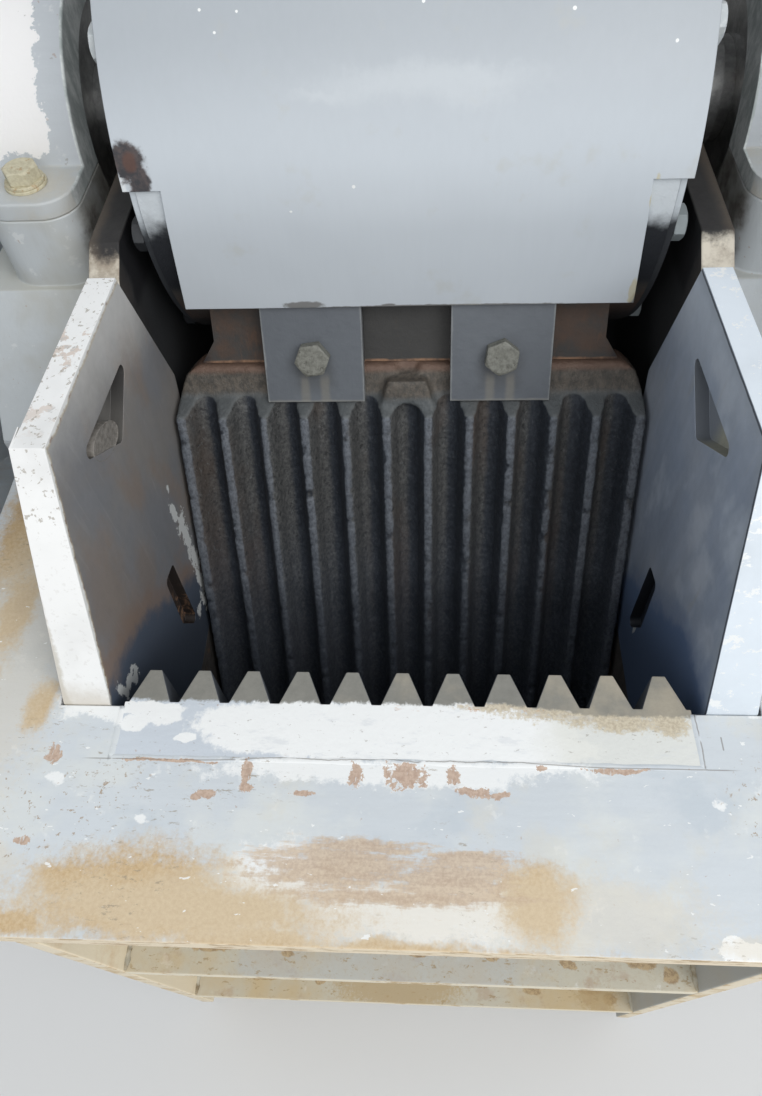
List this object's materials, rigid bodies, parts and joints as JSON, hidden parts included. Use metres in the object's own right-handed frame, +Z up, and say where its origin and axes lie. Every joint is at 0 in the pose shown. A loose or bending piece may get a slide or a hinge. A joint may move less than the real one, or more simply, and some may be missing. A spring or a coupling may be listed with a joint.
{
  "type": "jaw crusher",
  "caption": "Single-toggle jaw crusher on a welded frame, with corrugated jaw plates, hub guard, flywheel and grooved pulley.",
  "frame": {"origin": "centre of the anchor bolt pattern, on the underside of the base flanges", "axes": "+Z up; +Y runs from the feed side at the front towards the hub and the rear wall; +X to the right seen from the feed side"},
  "size_m": [1.6, 1.5643, 1.64],
  "materials": {
    "frame_paint": "light blue-grey brushed paint, worn",
    "rib_paint": "dusty paint with tan rust",
    "base_paint": "dusty blue-grey paint",
    "fixed_plate": "worn cast manganese steel, painted over at the back",
    "cheek_paint_left": "worn grey-brown paint with white edges",
    "cheek_paint_right": "blue-grey paint with white edges",
    "worn_liner": "bare worn steel with rust",
    "cap_paint": "flaking white paint over blue-grey",
    "painted_bolts": "overpainted and dusty",
    "machined_steel": "turned, oily",
    "wheel_paint": "light blue-grey paint",
    "raw_casting": "as cast, greasy",
    "rod_steel": "dull, lightly rusted",
    "spring_steel": "dark, lightly rusted",
    "jaw_casting": "dark cast steel with brown rust",
    "manganese": "rough dark manganese steel",
    "tab_paint": "blue-grey paint",
    "worn_bolts": "worn hexagon heads, dirty",
    "guard_paint": "light blue-grey paint, burnt and rusted at the edges",
    "hub_paint": "grey paint"
  },
  "bodies": {
    "frame": {"front_wall": "frame_paint", "side_wall_left": "frame_paint", "side_wall_right": "frame_paint", "rear_wall": "frame_paint", "feed_flange": "frame_paint", "seat_rails": "frame_paint", "front_ribs": "rib_paint", "side_ribs": "frame_paint", "side_gussets": "frame_paint", "rear_ribs": "frame_paint", "base_flange_left": "base_paint", "base_flange_right": "base_paint", "fixed_jaw_plate": "fixed_plate", "cheek_upper_left": "cheek_paint_left", "cheek_upper_right": "cheek_paint_right", "cheek_lower_left": "worn_liner", "cheek_lower_right": "worn_liner", "bearing_seat_left": "frame_paint", "bearing_seat_right": "frame_paint", "bearing_cap_left": "cap_paint", "bearing_cap_right": "cap_paint", "cap_bolts": "painted_bolts", "bearings": "machined_steel", "bearing_covers": "cap_paint", "eccentric_shaft": "machined_steel", "flywheel": "wheel_paint", "pulley": "wheel_paint", "wheel_retainers": "machined_steel", "toggle_plate": "raw_casting", "toggle_seat_rear": "raw_casting", "adjusting_block": "raw_casting", "shims": "raw_casting", "tension_rod": "rod_steel", "tension_spring": "spring_steel", "tension_nuts": "rod_steel"},
    "jaw": {"swing_jaw": "jaw_casting", "moving_jaw_plate": "manganese", "clamp_tab_left": "tab_paint", "clamp_tab_right": "tab_paint", "clamp_bolts": "worn_bolts", "head_guard": "guard_paint", "hub_cover_left": "hub_paint", "hub_cover_right": "hub_paint", "hub_cover_bolts": "hub_paint", "toggle_seat_jaw": "raw_casting", "tension_pin": "rod_steel"}
  },
  "joints": [
    {"name": "jaw_swing", "type": "hinge", "parent": "frame", "child": "jaw", "pos_m": [0, 0.313, 1.05], "axis": [1, 0, 0], "range_deg": [-1.4, 0]}
  ]
}
